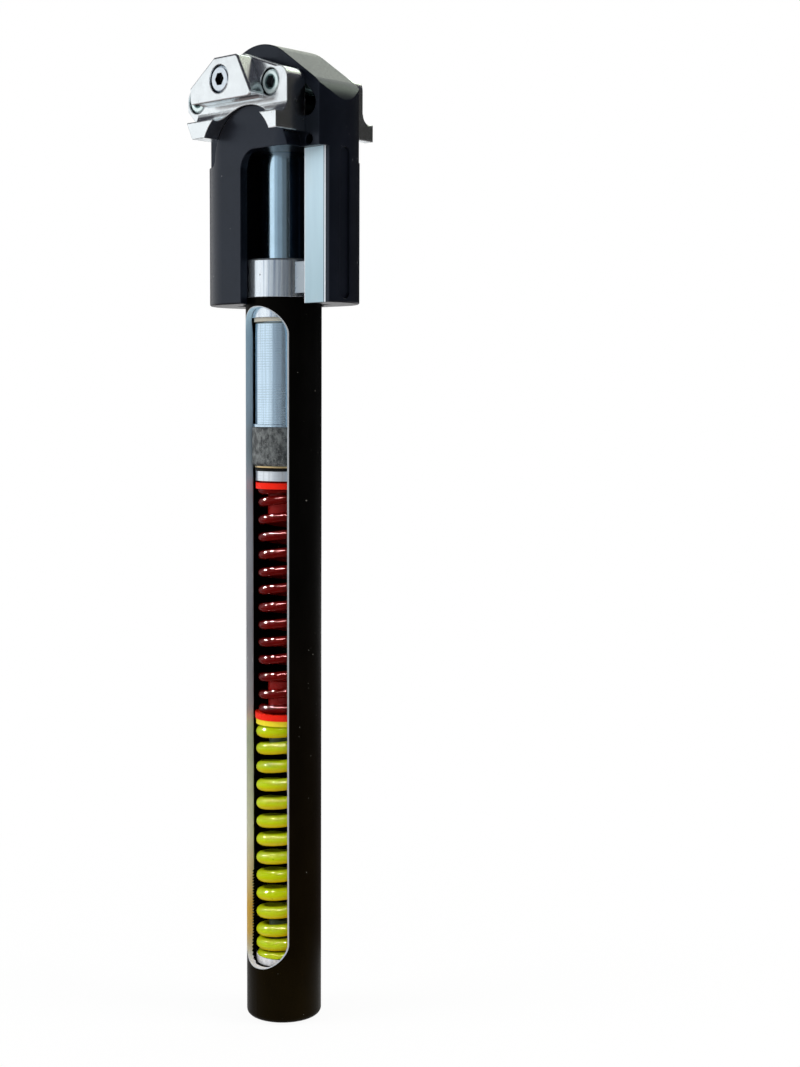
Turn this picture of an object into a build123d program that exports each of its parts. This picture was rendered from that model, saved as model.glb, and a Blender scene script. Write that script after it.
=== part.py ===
"""Suspension seatpost shown as a cutaway: a slotted tube with its springs, and a windowed head.

Millimetres. +Z runs up the tube, the origin is the centre of the tube's bottom end, +X is the
front of the saddle, and the cut side faces -Y.
"""
from build123d import *
from build123d.topology import SkipClean
from math import ceil, cos, pi, radians, sin, sqrt, tan
import os

os.makedirs("parts", exist_ok=True)

# Outer tube
tube_diameter = 27.2
tube_wall = 2.2
tube_length = 261.0
tube_foot_round = 2.0
slot_left = -9.3
slot_right = 10.7
slot_below_seat = 0.1
slot_top_land = 3.5
slot_corner = 9.6
slot_depth_left_uncut = 2.0
thread_length = 50.0
thread_pitch = 1.07
thread_depth = 0.5
thread_start = 3.6
thread_rise = 0.45
thread_width = 0.9

# Top nut of the tube, its bushing, wiper, washer and guide shoes
collar_diameter = 27.6
collar_height = 13.4
collar_spigot_length = 7.0
spigot_gap = 0.1
bushing_wall = 0.9
washer_thickness = 1.4
washer_width = 2.3
wiper_height = 1.6
shoe_half_width = 6.2
shoe_height = 11.0
shoe_screw_diameter = 3.0
shoe_screw_head = 5.0

# Shaft stack, from the top down
shaft_diameter = 16.0
shaft_stub_diameter = 12.0
shaft_stub_length = 10.5
running_gap = 0.04
seat_gap = 0.02
stop_gap = 0.3
sleeve_diameter = 20.4
sleeve_length = 36.0
sleeve_flange_diameter = 22.0
sleeve_flange_height = 1.0
bush_height = 13.0
bush_chamfer_height = 0.9
bush_chamfer_step = 1.0
shim_height = 0.6
shim_diameter = 20.8
seal_height = 1.2
seal_diameter = 20.8
piston_height = 3.5
piston_diameter = 20.2
guide_screw_diameter = 6.0
guide_screw_head_diameter = 8.0
guide_screw_head_height = 4.0
guide_screw_grip = 12.0

# Springs and their seats
upper_wire = 3.3
upper_spring_diameter = 18.5
upper_pitch = 6.3
upper_closed_low = 0.53
upper_closed_high = 1.04
upper_tip_low = 0.82
upper_tip_high = -0.33
lower_wire = 4.4
lower_spring_diameter = 20.2
lower_pitch = 6.72
lower_closed_low = 2.02
lower_closed_high = 0.48
lower_tip_low = -1.23
lower_tip_high = 1.78
spring_tip_angle = 208.0
spring_part_turn = 0.33
end_coil_gap = 0.45
coil_seat_gap = 0.12
upper_spring_room = 81.1
peg_gap = 0.3
guide_neck_height = 0.7
guide_neck_diameter = 17.0
guide_flange_height = 2.2
guide_flange_diameter = 20.2
mid_flange_diameter = 20.8
yellow_flange_height = 2.0
yellow_flange_diameter = 20.2
upper_peg_length = 10.5
mid_peg_up_length = 12.1
mid_peg_down_length = 9.6
dowel_diameter = 6.0
low_peg_length = 13.0
low_seat_height = 2.6
low_seat_diameter = 20.2
plug_recess = 6.3
plug_height = 13.6
plug_gap = 0.1
plug_socket = 10.0
plug_socket_depth = 6.0

# Head housing
head_overlap = 2.4
head_height = 90.4
head_end_radius = 17.2
head_half_straight = 13.8
crown_centre_x = -1.85
crown_edge_x = 11.65
crown_edge_drop = 3.4
slope_run = 16.0
slope_drop = 10.8
shoulder_run = 5.2
shoulder_drop = 7.3
shoulder_bend_run = 3.1
shoulder_bend_drop = 3.2
slab_half = 9.7
cavity_gap = 1.0
ceiling_above_pivot = 3.8
keyway_side_gap = 0.6
keyway_reach = 17.5
window_left = -3.7
window_corner = 7.0
window_plane = -6.5
pocket_below_pivot = 0.5
pocket_fillet = 2.5
edge_break = 0.4
end_groove_width = 4.6
end_groove_depth = 1.1
end_groove_rise = 1.4
cross_hole_diameter = 3.5
cross_hole_x = 23.2
cross_hole_rise = 6.0

# Tilting saddle clamp
pivot_x = 1.0
pivot_below_crown = 41.0
boss_radius = 18.7
arch_gap = 0.2
side_gap = 0.1
rail_diameter = 7.0
rail_spacing = 44.0
rail_above_pivot = 17.8
rail_side_gap = 0.2
lip_past_rail = 1.5
foot_wall = 5.6
heel_run = 2.7
heel_rise = 5.5
block_front = 21.3
block_front_corner = 4.5
lobe_wall = 0.9
lobe_flat_below = 3.0
lobe_slope = 38.0
lip_step = 6.0
bore_wall = 0.34
crest_rise = 6.1
crest_front_x = -1.0
tilt_bolt_diameter = 5.0
tilt_head_diameter = 8.5
tilt_head_height = 4.3
tilt_tip_past_nut_face = 4.0
head_sink = 0.2
block_edge_break = 0.5
counterbore_gap = 0.45
front_bolt_radius = 28.0
front_bolt_angle = 24.6
front_slot_gap = 1.7
front_slot_low_angle = 7.4
front_slot_high_angle = 49.2
rear_bolt_radius = 35.1
rear_bolt_angle = -48.5
rear_notch_gap = 0.3
rear_notch_angle = -28.3
rear_notch_sweep = 70.0
bolt_socket = 4.0
bolt_socket_depth = 2.5
plate_past_rail = 2.8
plate_gap = 0.15
plate_above_rail = 2.4
plate_height = 15.1
plate_rear_run = 15.7
plate_rear_height = 6.0
plate_slope_run = 2.8
plate_low_front_run = 17.2
plate_high_front_run = 9.2
plate_bevel = 0.5
plate_corner = 1.8
plate_round = 4.0
centre_bolt_x = -6.2
centre_bolt_diameter = 5.0
centre_head_diameter = 9.0
centre_head_height = 4.3
centre_bolt_reach = 10.1
plate_hole_gap = 0.25

# Radii and heights that follow from the sizes above
tube_radius = tube_diameter / 2
bore_radius = tube_radius - tube_wall
shaft_radius = shaft_diameter / 2
collar_radius = collar_diameter / 2
collar_top = tube_length + collar_height
spigot_bottom = tube_length - collar_spigot_length
spigot_radius = bore_radius - spigot_gap
bushing_radius = shaft_radius + running_gap
washer_bottom = spigot_bottom - washer_thickness
sleeve_top = washer_bottom - stop_gap
sleeve_bottom = sleeve_top - sleeve_length
bush_top = sleeve_bottom - sleeve_flange_height
bush_bottom = bush_top - bush_height - bush_chamfer_height
shim_bottom = bush_bottom - shim_height
seal_bottom = shim_bottom - seal_height
piston_bottom = seal_bottom - piston_height
sleeve_hole = shaft_radius + seat_gap
guide_top = piston_bottom
guide_flange_top = guide_top - guide_neck_height
guide_bottom = guide_flange_top - guide_flange_height
upper_peg_bottom = guide_bottom - upper_peg_length
mid_flange_top = guide_bottom - upper_spring_room
mid_flange_bottom = mid_flange_top - guide_flange_height
yellow_bottom = mid_flange_bottom - yellow_flange_height
low_seat_bottom = plug_recess + plug_height
low_seat_top = low_seat_bottom + low_seat_height
slot_bottom = low_seat_bottom - slot_below_seat
slot_top = tube_length - slot_top_land
upper_mean_radius = (upper_spring_diameter - upper_wire) / 2
lower_mean_radius = (lower_spring_diameter - lower_wire) / 2
upper_peg_radius = upper_mean_radius - upper_wire / 2 - peg_gap
lower_peg_radius = lower_mean_radius - lower_wire / 2 - peg_gap
head_bottom = tube_length - head_overlap
crown_top = head_bottom + head_height
pivot_z = crown_top - pivot_below_crown
cavity_top = pivot_z + ceiling_above_pivot
cavity_radius = tube_radius + cavity_gap
keyway_half_width = shoe_half_width + keyway_side_gap
pocket_bottom = pivot_z - pocket_below_pivot
head_end_x = head_half_straight + head_end_radius
end_groove_bottom = head_bottom + end_groove_rise
cross_hole_z = pivot_z + cross_hole_rise
arch_radius = boss_radius + arch_gap
rail_radius = rail_diameter / 2
rail_y = rail_spacing / 2
rail_z = pivot_z + rail_above_pivot
block_inner = slab_half + side_gap
block_outer = rail_y - rail_radius - rail_side_gap
lip_outer = rail_y + lip_past_rail
foot_bottom = rail_z - rail_radius - foot_wall
front_bolt_x = pivot_x + front_bolt_radius * sin(radians(front_bolt_angle))
front_bolt_z = pivot_z + front_bolt_radius * cos(radians(front_bolt_angle))
rear_bolt_x = pivot_x + rear_bolt_radius * sin(radians(rear_bolt_angle))
rear_bolt_z = pivot_z + rear_bolt_radius * cos(radians(rear_bolt_angle))
tilt_bolt_radius = tilt_bolt_diameter / 2
tilt_head_radius = tilt_head_diameter / 2
tilt_bore_radius = tilt_head_radius + counterbore_gap
front_slot_half_width = tilt_bolt_radius + front_slot_gap
lobe_radius = tilt_bore_radius + lobe_wall
block_rear = rear_bolt_x - lobe_radius
lip_rear = block_rear + lip_step
block_top = front_bolt_z + tilt_bore_radius + bore_wall
block_crest = block_top + crest_rise
plate_outer = rail_y + plate_past_rail
plate_bottom = rail_z + plate_above_rail
plate_top = plate_bottom + plate_height
plate_rear = centre_bolt_x - plate_rear_run
plate_slope_top = centre_bolt_x - plate_slope_run
plate_low_front = centre_bolt_x + plate_low_front_run
plate_high_front = centre_bolt_x + plate_high_front_run
centre_bolt_z = (plate_bottom + plate_top) / 2
head_seat = block_outer - tilt_head_height - head_sink
centre_seat = plate_outer - centre_head_height - head_sink
centre_head_radius = centre_head_diameter / 2
centre_bolt_radius = centre_bolt_diameter / 2
far = 60.0


def save(piece, name):
    """Labels a finished piece and writes it as its own STEP file."""
    piece.part.label = name
    export_step(piece.part, f"parts/{name}.step")


def ring(inner, outer, low, high):
    """A plain ring about the tube's axis, as a part of its own."""
    with BuildPart() as made:
        with BuildSketch(Plane.XY.offset(low)):
            Circle(outer)
            Circle(inner, mode=Mode.SUBTRACT)
        extrude(amount=high - low)
    return made


def on_pivot(radius, angle_from_up):
    """A point of the X-Z plane at a radius and an angle from straight up, about the tilt axis."""
    turn = radians(angle_from_up)
    return (pivot_x + radius * sin(turn), pivot_z + radius * cos(turn))


# Slotted outer tube with the thread for its bottom plug. It is three rings end to end, the closed
# foot, the slotted length and the closed top, and its seam lies in the slot.
slot_side = Plane(origin=(0, 0, 0), x_dir=(0, -1, 0), z_dir=(-1, 0, 0))
band_low = slot_bottom + slot_corner
band_high = 2 * slot_top - tube_length + stop_gap
wall_middle = bore_radius + tube_wall / 2
thread_root = bore_radius - stop_gap
with BuildPart() as seat_tube:
    with BuildSketch(slot_side):
        with Locations((wall_middle, band_low / 2)):
            Rectangle(tube_wall, band_low)
    revolve(axis=Axis.Z)
    foot_edges = seat_tube.edges().group_by(Axis.Z)[0].sort_by(SortBy.RADIUS)
    fillet(foot_edges[-1], radius=min(tube_foot_round, tube_wall * 0.9))
    with BuildSketch(slot_side):
        for turn in range(int(thread_length / thread_pitch)):
            with BuildLine():
                low = thread_start + turn * thread_pitch
                high = low + thread_pitch * thread_width
                tooth = (bore_radius + thread_depth, low + thread_pitch * thread_rise)
                foot, mouth = (bore_radius, low), (bore_radius, high)
                Polyline(mouth, (thread_root, high), (thread_root, low), foot, tooth, close=True)
            make_face()
    thread_cut = revolve(axis=Axis.Z, mode=Mode.PRIVATE)
    with BuildSketch(Plane.XZ.offset(slot_depth_left_uncut)):
        with Locations(((slot_left + slot_right) / 2, (slot_bottom + slot_top) / 2)):
            RectangleRounded(slot_right - slot_left, slot_top - slot_bottom, slot_corner)
    slot_cut = extrude(amount=tube_diameter, mode=Mode.PRIVATE)
    with SkipClean():
        for low, high in ((band_low, band_high), (band_high, tube_length)):
            with BuildSketch(slot_side):
                with Locations((wall_middle, (low + high) / 2)):
                    Rectangle(tube_wall, high - low)
            revolve(axis=Axis.Z, clean=False)
        add(thread_cut, mode=Mode.SUBTRACT, clean=False)
        add(slot_cut, mode=Mode.SUBTRACT, clean=False)
save(seat_tube, "seat_tube")

# Top nut that closes the tube and guides the shaft
with BuildPart() as collar_nut:
    with BuildSketch(Plane.XZ):
        with BuildLine():
            nut_bore = bushing_radius + bushing_wall + seat_gap
            wiper_bore = nut_bore + 0.8
            Polyline(
                (nut_bore, spigot_bottom),
                (spigot_radius, spigot_bottom),
                (spigot_radius, tube_length),
                (collar_radius, tube_length),
                (collar_radius, collar_top - 0.6),
                (collar_radius - 0.6, collar_top),
                (wiper_bore, collar_top),
                (wiper_bore, collar_top - wiper_height),
                (nut_bore, collar_top - wiper_height),
                close=True,
            )
        make_face()
    revolve(axis=Axis.Z)
    shoe_mid = tube_length + collar_height / 2
    shoe_screw_tip = nut_bore + 1.6
    for side in (1, -1):
        screw_plane = Plane((side * collar_radius, 0, shoe_mid), z_dir=(side, 0, 0))
        with BuildSketch(screw_plane.offset(0.5)):
            Circle(shoe_screw_diameter / 2 + seat_gap)
        extrude(amount=-(collar_radius + 0.5 - shoe_screw_tip) - 0.3, mode=Mode.SUBTRACT)
save(collar_nut, "collar_nut")

bushing_top = collar_top - wiper_height - 0.1
collar_bushing = ring(bushing_radius, bushing_radius + bushing_wall, spigot_bottom, bushing_top)
save(collar_bushing, "collar_bushing")

with BuildPart() as shaft_wiper:
    with BuildSketch(Plane.XZ):
        with BuildLine():
            wiper_out = wiper_bore - seat_gap
            wiper_low = collar_top - wiper_height + seat_gap
            lip_reach = shaft_radius + running_gap
            Polyline(
                (lip_reach + 0.3, wiper_low),
                (wiper_out, wiper_low),
                (wiper_out, collar_top),
                (lip_reach + 0.2, collar_top + 0.25),
                (lip_reach, collar_top - 0.3),
                close=True,
            )
        make_face()
    revolve(axis=Axis.Z)
save(shaft_wiper, "shaft_wiper")

# Two shoes on the nut run in the head's keyways and stop it from turning
with BuildPart() as guide_shoes:
    for side in (1, -1):
        with BuildSketch(Plane.XY.offset(shoe_mid - shoe_height / 2)):
            shoe_out = keyway_reach - stop_gap
            with Locations((side * (collar_radius * 0.7 + shoe_out) / 2, 0)):
                Rectangle(shoe_out - collar_radius * 0.7, 2 * shoe_half_width)
            Circle(collar_radius + seat_gap, mode=Mode.SUBTRACT)
        extrude(amount=shoe_height)
    for side in (1, -1):
        shoe_face = Plane((side * shoe_out, 0, shoe_mid), z_dir=(side, 0, 0))
        with BuildSketch(shoe_face):
            Circle(shoe_screw_diameter / 2 + seat_gap)
        extrude(amount=-far / 8, mode=Mode.SUBTRACT)
        with BuildSketch(shoe_face):
            Circle(shoe_screw_head / 2 + seat_gap)
        extrude(amount=-1.6, mode=Mode.SUBTRACT)
save(guide_shoes, "guide_shoes")

with BuildPart() as shoe_screws:
    for side in (1, -1):
        shoe_face = Plane((side * (shoe_out - 1.6), 0, shoe_mid), z_dir=(side, 0, 0))
        with BuildSketch(shoe_face):
            Circle(shoe_screw_head / 2)
        extrude(amount=1.5)
        with BuildSketch(shoe_face):
            Circle(shoe_screw_diameter / 2)
        extrude(amount=-(shoe_out - 1.6 - shoe_screw_tip))
save(shoe_screws, "shoe_screws")

topout_washer = ring(shaft_radius + 0.3, shaft_radius + 0.3 + washer_width, washer_bottom, spigot_bottom)
save(topout_washer, "topout_washer")

# Polished shaft, fixed in the head by its threaded stub
shaft_bottom = guide_top
with BuildPart() as shaft:
    with BuildSketch(Plane.XY.offset(shaft_bottom)):
        Circle(shaft_radius)
    extrude(amount=cavity_top - shaft_bottom)
    with BuildSketch(Plane.XY.offset(cavity_top)):
        Circle(shaft_stub_diameter / 2)
    extrude(amount=shaft_stub_length)
    with BuildSketch(Plane.XY.offset(shaft_bottom)):
        Circle(guide_screw_diameter / 2 + seat_gap)
    extrude(amount=guide_screw_grip + 2, mode=Mode.SUBTRACT)
save(shaft, "shaft")

with BuildPart() as spacer_sleeve:
    with BuildSketch(Plane.XZ):
        with BuildLine():
            Polyline(
                (sleeve_hole, bush_top),
                (sleeve_flange_diameter / 2, bush_top),
                (sleeve_flange_diameter / 2, sleeve_bottom),
                (sleeve_diameter / 2, sleeve_bottom),
                (sleeve_diameter / 2, sleeve_top - 0.4),
                (sleeve_diameter / 2 - 0.4, sleeve_top),
                (sleeve_hole, sleeve_top),
                close=True,
            )
        make_face()
    revolve(axis=Axis.Z)
save(spacer_sleeve, "spacer_sleeve")

with BuildPart() as guide_bush:
    with BuildSketch(Plane.XZ):
        with BuildLine():
            bush_radius = bore_radius - running_gap
            Polyline(
                (sleeve_hole, bush_bottom),
                (bush_radius - bush_chamfer_step, bush_bottom),
                (bush_radius, bush_bottom + bush_chamfer_height),
                (bush_radius, bush_top - 0.3),
                (bush_radius - 0.3, bush_top),
                (sleeve_hole, bush_top),
                close=True,
            )
        make_face()
    revolve(axis=Axis.Z)
save(guide_bush, "guide_bush")

brass_shim = ring(sleeve_hole, shim_diameter / 2, shim_bottom, bush_bottom)
save(brass_shim, "brass_shim")

with BuildPart() as shaft_seal:
    with BuildSketch(Plane.XZ):
        with BuildLine():
            seal_out = seal_diameter / 2
            bulge = seal_height / 2
            Polyline(
                (seal_out - bulge, shim_bottom),
                (sleeve_hole, shim_bottom),
                (sleeve_hole, seal_bottom),
                (seal_out - bulge, seal_bottom),
            )
            ThreePointArc(
                (seal_out - bulge, seal_bottom),
                (seal_out, seal_bottom + bulge),
                (seal_out - bulge, shim_bottom),
            )
        make_face()
    revolve(axis=Axis.Z)
save(shaft_seal, "shaft_seal")

piston_ring = ring(sleeve_hole, piston_diameter / 2, piston_bottom, seal_bottom)
save(piston_ring, "piston_ring")

# Red guide that the shaft presses on the upper spring
with BuildPart() as upper_spring_guide:
    with BuildSketch(Plane.XY.offset(guide_bottom)):
        Circle(guide_flange_diameter / 2)
    extrude(amount=guide_flange_height)
    with BuildSketch(Plane.XY.offset(guide_flange_top)):
        Circle(guide_neck_diameter / 2)
    extrude(amount=guide_neck_height)
    with BuildSketch(Plane.XY.offset(upper_peg_bottom)):
        Circle(upper_peg_radius)
    extrude(amount=upper_peg_length)
    chamfer(upper_spring_guide.edges().group_by(Axis.Z)[0], length=0.7)
    with BuildSketch(Plane.XY.offset(upper_peg_bottom)):
        Circle(guide_screw_diameter / 2 + seat_gap)
    extrude(amount=far, mode=Mode.SUBTRACT)
    with BuildSketch(Plane.XY.offset(upper_peg_bottom)):
        Circle(guide_screw_head_diameter / 2 + seat_gap)
    extrude(amount=guide_screw_head_height + 0.5, mode=Mode.SUBTRACT)
save(upper_spring_guide, "upper_spring_guide")

with BuildPart() as guide_screw:
    screw_seat = upper_peg_bottom + guide_screw_head_height + 0.5
    with BuildSketch(Plane.XY.offset(screw_seat - guide_screw_head_height)):
        Circle(guide_screw_head_diameter / 2)
    extrude(amount=guide_screw_head_height)
    with BuildSketch(Plane.XY.offset(screw_seat)):
        Circle(guide_screw_diameter / 2)
    extrude(amount=guide_top + guide_screw_grip - screw_seat)
    with BuildSketch(Plane.XY.offset(screw_seat - guide_screw_head_height)):
        RegularPolygon(bolt_socket / 2, 6, major_radius=False)
    extrude(amount=bolt_socket_depth, mode=Mode.SUBTRACT)
save(guide_screw, "guide_screw")

# Floating seats between the two springs
with BuildPart() as red_spring_seat:
    with BuildSketch(Plane.XY.offset(mid_flange_bottom)):
        Circle(mid_flange_diameter / 2)
    extrude(amount=guide_flange_height)
    with BuildSketch(Plane.XY.offset(mid_flange_top)):
        Circle(upper_peg_radius)
    extrude(amount=mid_peg_up_length)
    chamfer(red_spring_seat.edges().group_by(Axis.Z)[-1], length=0.7)
    with BuildSketch(Plane.XY.offset(mid_flange_bottom)):
        Circle(dowel_diameter / 2 + seat_gap)
    extrude(amount=guide_flange_height + mid_peg_up_length - 2, mode=Mode.SUBTRACT)
save(red_spring_seat, "red_spring_seat")

dowel_hole = dowel_diameter / 2 + seat_gap
yellow_spring_seat = ring(dowel_hole, yellow_flange_diameter / 2, yellow_bottom, mid_flange_bottom)
save(yellow_spring_seat, "yellow_spring_seat")

with BuildPart() as seat_dowel:
    with BuildSketch(Plane.XY.offset(yellow_bottom - mid_peg_down_length)):
        Circle(lower_peg_radius)
    extrude(amount=mid_peg_down_length)
    chamfer(seat_dowel.edges().group_by(Axis.Z)[0], length=0.7)
    with BuildSketch(Plane.XY.offset(yellow_bottom)):
        Circle(dowel_diameter / 2)
    extrude(amount=yellow_flange_height + guide_flange_height + mid_peg_up_length - 2.5)
save(seat_dowel, "seat_dowel")

# Bottom seat, its peg and the threaded plug that sets the preload
low_spring_seat = ring(dowel_hole, low_seat_diameter / 2, low_seat_bottom, low_seat_top)
save(low_spring_seat, "low_spring_seat")

with BuildPart() as low_spring_peg:
    with BuildSketch(Plane.XY.offset(low_seat_bottom)):
        Circle(dowel_diameter / 2)
    extrude(amount=low_seat_height)
    with BuildSketch(Plane.XY.offset(low_seat_top)):
        Circle(lower_peg_radius)
    extrude(amount=low_peg_length)
    chamfer(low_spring_peg.edges().group_by(Axis.Z)[-1], length=0.7)
save(low_spring_peg, "low_spring_peg")

with BuildPart() as preload_plug:
    with BuildSketch(Plane.XY.offset(plug_recess)):
        Circle(bore_radius - plug_gap)
    extrude(amount=plug_height)
    chamfer(preload_plug.edges().group_by(Axis.Z)[-1], length=0.8)
    with BuildSketch(Plane.XY.offset(plug_recess)):
        RegularPolygon(plug_socket / 2, 6, major_radius=False)
    extrude(amount=plug_socket_depth, mode=Mode.SUBTRACT)
save(preload_plug, "preload_plug")


def coil_spring(name, wire, mean_radius, pitch, low, high, closed_low, closed_high, tip_low, tip_high):
    """A right-hand round-wire spring with closed ends ground flat, swept on quarter-turn biarcs."""
    start = low + tip_low
    end = high - tip_high
    end_pitch = wire + end_coil_gap
    closed = closed_low + closed_high
    open_height = end - start - closed * end_pitch
    turns = round(open_height / pitch + closed - spring_part_turn) + spring_part_turn
    open_pitch = open_height / (turns - closed)
    quarters = ceil(turns * 4)
    step = turns / quarters

    def height(turn):
        """Height of the wire's centre: slow turns at both ends, an even pitch between."""
        if turn <= closed_low:
            return start + end_pitch * turn
        if turn >= turns - closed_high:
            return end - end_pitch * (turns - turn)
        return start + end_pitch * closed_low + open_pitch * (turn - closed_low)

    def point(turn):
        angle = 2 * pi * turn + radians(spring_tip_angle)
        return Vector(mean_radius * cos(angle), mean_radius * sin(angle), height(turn))

    def direction(turn):
        reach = 0.25
        before = height(max(turn - reach, 0))
        after = height(min(turn + reach, turns))
        span = min(turn + reach, turns) - max(turn - reach, 0)
        rise = (after - before) / span
        angle = 2 * pi * turn + radians(spring_tip_angle)
        around = 2 * pi * mean_radius
        return Vector(-sin(angle) * around, cos(angle) * around, rise).normalized()

    with BuildPart() as spring:
        with BuildLine() as centre_line:
            for quarter in range(quarters):
                a = point(quarter * step)
                b = point((quarter + 1) * step)
                ta = direction(quarter * step)
                tb = direction((quarter + 1) * step)
                gap = b - a
                across = gap.dot(ta + tb)
                square = 2 * (1 - ta.dot(tb))
                reach = (-across + sqrt(across**2 + square * gap.dot(gap))) / square
                joint = (a + ta * reach + b - tb * reach) * 0.5
                TangentArc(a, joint, tangent=ta)
                TangentArc(joint, b, tangent=(b - tb * reach - (a + ta * reach)))
        with BuildSketch(Plane(origin=point(0), z_dir=direction(0))):
            Circle(wire / 2)
        sweep(path=centre_line.wires()[0])
        with BuildSketch(Plane.XY.offset(low + coil_seat_gap)):
            Circle(mean_radius + wire)
        extrude(amount=high - low - 2 * coil_seat_gap, mode=Mode.INTERSECT)
    samples = [point(turns * k / (quarters * 12)) for k in range(quarters * 12 + 1)]
    least = min(
        (samples[j] - samples[i]).length - wire
        for i in range(len(samples))
        for j in range(i + 36, min(i + 72, len(samples)))
    )
    print(name, "turns", round(turns, 2), "least gap to itself", round(least, 3), "mm")
    save(spring, name)


upper_sizes = (upper_wire, upper_mean_radius, upper_pitch, mid_flange_top, guide_bottom)
upper_ends = (upper_closed_low, upper_closed_high, upper_tip_low, upper_tip_high)
lower_sizes = (lower_wire, lower_mean_radius, lower_pitch, low_seat_top, yellow_bottom)
lower_ends = (lower_closed_low, lower_closed_high, lower_tip_low, lower_tip_high)
coil_spring("upper_spring", *upper_sizes, *upper_ends)
coil_spring("lower_spring", *lower_sizes, *lower_ends)

# Head housing: an oblong casting with a crowned top, side pockets and the cutaway window
with BuildLine() as front_slot_path:
    front_slot_sweep = front_slot_high_angle - front_slot_low_angle
    CenterArc((pivot_x, pivot_z), front_bolt_radius, 90 - front_slot_high_angle, front_slot_sweep)

with BuildPart() as head_housing:
    with BuildSketch(Plane.XY.offset(head_bottom)):
        SlotCenterToCenter(2 * head_half_straight, 2 * head_end_radius)
    extrude(amount=crown_top + 1 - head_bottom)
    with BuildSketch(Plane.XZ.offset(-far / 2)):
        with BuildLine():
            crown_edge_z = crown_top - crown_edge_drop
            crown_front = (crown_centre_x + crown_edge_x, crown_edge_z)
            crown_rear = (crown_centre_x - crown_edge_x, crown_edge_z)
            slope_front = (crown_front[0] + slope_run, crown_edge_z - slope_drop)
            slope_rear = (crown_rear[0] - slope_run, crown_edge_z - slope_drop)
            low_front = (slope_front[0] + shoulder_run, slope_front[1] - shoulder_drop)
            low_rear = (slope_rear[0] - shoulder_run, slope_rear[1] - shoulder_drop)
            bend_front = (slope_front[0] + shoulder_bend_run, slope_front[1] - shoulder_bend_drop)
            bend_rear = (slope_rear[0] - shoulder_bend_run, slope_rear[1] - shoulder_bend_drop)
            ThreePointArc(crown_rear, (crown_centre_x, crown_top), crown_front)
            Line(crown_front, slope_front)
            ThreePointArc(slope_front, bend_front, low_front)
            Polyline(
                low_front,
                (far, low_front[1]),
                (far, head_bottom - 1),
                (-far, head_bottom - 1),
                (-far, low_rear[1]),
                low_rear,
            )
            ThreePointArc(low_rear, bend_rear, slope_rear)
            Line(slope_rear, crown_rear)
        make_face()
    extrude(amount=far, mode=Mode.INTERSECT)
    for side in (1, -1):
        with BuildSketch(Plane.XZ.offset(side * slab_half)) as pocket:
            with Locations((0, pocket_bottom + far / 2)):
                Rectangle(4 * far, far)
            with Locations((pivot_x, pivot_z)):
                Circle(boss_radius, mode=Mode.SUBTRACT)
            fillet(pocket.vertices().group_by(Axis.Y)[0].sort_by(Axis.X)[1:3], radius=pocket_fillet)
        extrude(amount=side * far / 2, mode=Mode.SUBTRACT)
    with BuildSketch(Plane.XY.offset(head_bottom)):
        Circle(cavity_radius)
        Rectangle(2 * keyway_reach, 2 * keyway_half_width)
    extrude(amount=cavity_top - head_bottom, mode=Mode.SUBTRACT)
    with BuildSketch(Plane.XY.offset(cavity_top)):
        Circle(shaft_stub_diameter / 2 + seat_gap)
    extrude(amount=shaft_stub_length + 0.5, mode=Mode.SUBTRACT)
    with BuildSketch(Plane.XZ.offset(-window_plane)):
        with BuildLine():
            corner_x = window_left + window_corner
            corner_z = cavity_top - window_corner
            bend = window_corner * sin(pi / 4)
            Polyline(
                (window_left, corner_z),
                (window_left, head_bottom - 1),
                (far, head_bottom - 1),
                (far, cavity_top),
                (corner_x, cavity_top),
            )
            corner_mid = (corner_x - bend, corner_z + bend)
            ThreePointArc((corner_x, cavity_top), corner_mid, (window_left, corner_z))
        make_face()
    extrude(amount=far, mode=Mode.SUBTRACT)
    with BuildSketch(Plane.XZ):
        SlotArc(arc=front_slot_path.edges()[0], height=2 * front_slot_half_width)
    extrude(amount=far, both=True, mode=Mode.SUBTRACT)
    with BuildSketch(Plane.XZ):
        with BuildLine():
            notch_floor = rear_bolt_radius - tilt_bolt_radius - rear_notch_gap
            notch_end = rear_notch_angle - rear_notch_sweep
            ThreePointArc(
                on_pivot(notch_floor, rear_notch_angle),
                on_pivot(notch_floor, (rear_notch_angle + notch_end) / 2),
                on_pivot(notch_floor, notch_end),
            )
            Polyline(
                on_pivot(notch_floor, notch_end),
                on_pivot(2 * far, notch_end),
                on_pivot(2 * far, rear_notch_angle),
                on_pivot(notch_floor, rear_notch_angle),
            )
        make_face()
    extrude(amount=far, both=True, mode=Mode.SUBTRACT)
    with BuildSketch(Plane.XZ):
        with Locations((cross_hole_x, cross_hole_z)):
            Circle(cross_hole_diameter / 2)
    extrude(amount=far, both=True, mode=Mode.SUBTRACT)
    with BuildSketch(Plane.YZ.offset(head_end_x - end_groove_depth)):
        with Locations((0, (end_groove_bottom + cavity_top) / 2)):
            SlotOverall(cavity_top - end_groove_bottom, end_groove_width, rotation=90)
    extrude(amount=far, mode=Mode.SUBTRACT)
    rim = head_housing.edges().group_by(Axis.Z)[0].filter_by(GeomType.CIRCLE).sort_by(SortBy.RADIUS)
    chamfer(rim[-1], length=edge_break)
save(head_housing, "head_housing")


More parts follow.
